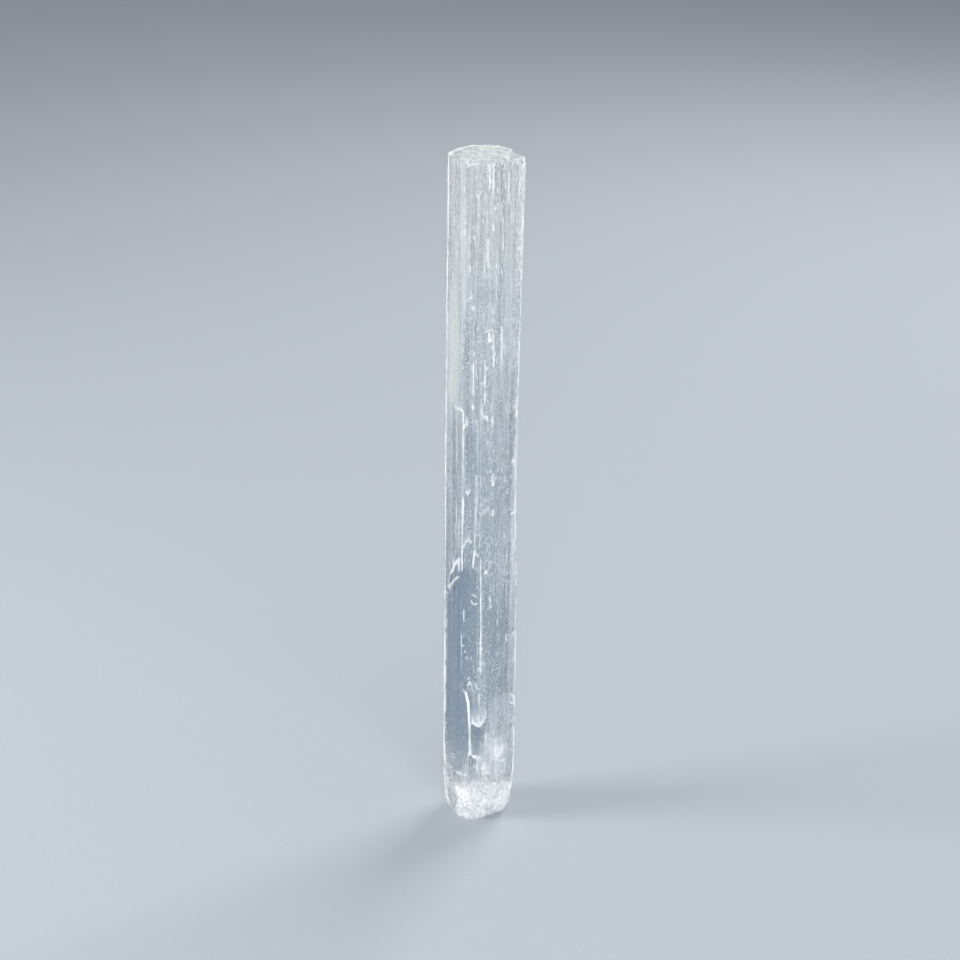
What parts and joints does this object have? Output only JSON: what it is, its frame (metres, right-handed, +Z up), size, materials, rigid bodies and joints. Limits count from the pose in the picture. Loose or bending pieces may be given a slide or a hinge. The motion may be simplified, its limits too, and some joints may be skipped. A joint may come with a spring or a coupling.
{
  "type": "selenite crystal blade",
  "caption": "Long striated blade of clear fibrous selenite that stands on its flat sawn end, with splinter scars and a crushed foot.",
  "frame": {"origin": "centre of the blade's bounding box on the plane of its flat base", "axes": "+Z up along the blade, -Y the front with the flake scars, +X the right side seen from the front"},
  "size_m": [0.0214, 0.0202, 0.2],
  "materials": {
    "selenite": "clear to milky fibrous selenite with a silky lustre, white where it is sawn or crushed"
  },
  "bodies": {
    "root": {"selenite_blade": "selenite"}
  },
  "joints": []
}
